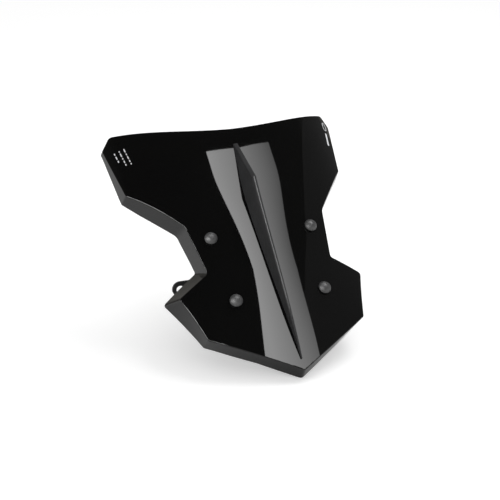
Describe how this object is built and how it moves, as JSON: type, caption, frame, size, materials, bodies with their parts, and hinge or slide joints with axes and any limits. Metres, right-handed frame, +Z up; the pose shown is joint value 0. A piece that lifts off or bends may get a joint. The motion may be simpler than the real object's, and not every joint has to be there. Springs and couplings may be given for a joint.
{
  "type": "windshield screen",
  "caption": "Gloss black motorcycle fly screen with a crowned face, folded return walls, a centre fin and two folded ear brackets that bolt it to the motorcycle.",
  "frame": {"origin": "midway between the two ear holes, in the middle of the ear plates' thickness", "axes": "+Z up as mounted, X across the screen, -Y towards the front of the motorcycle; the face leans back 49 degrees from vertical"},
  "size_m": [0.297, 0.2927, 0.2244],
  "materials": {
    "gloss_black_acrylic": "polished black methacrylate sheet with a mirror-like gloss",
    "gloss_black_abs": "gloss black moulded plastic",
    "satin_black_plastic": "satin dark grey moulded plastic",
    "black_nylon": "matt black nylon",
    "black_foam": "closed-cell black foam tape",
    "black_rubber": "matt black rubber",
    "zinc_steel": "bright zinc-plated steel",
    "black_bolt_steel": "black oxide steel",
    "black_powder_coat": "fine-textured satin black powder coat on steel plate",
    "white_print": "thin white printed film"
  },
  "bodies": {
    "root": {"screen_panel": "gloss_black_acrylic", "centre_fin": "gloss_black_abs", "fin_pad": "black_foam", "fin_screws": "zinc_steel", "fin_washers": "zinc_steel", "screw_caps": "satin_black_plastic", "cap_seats": "black_nylon", "panel_bolts": "black_bolt_steel", "panel_grommets": "black_rubber", "spacer_sleeves": "zinc_steel", "rear_washers": "zinc_steel", "lock_nuts": "zinc_steel", "bracket_left": "black_powder_coat", "bracket_right": "black_powder_coat", "print_dashes": "white_print", "print_badge": "white_print"}
  },
  "joints": []
}
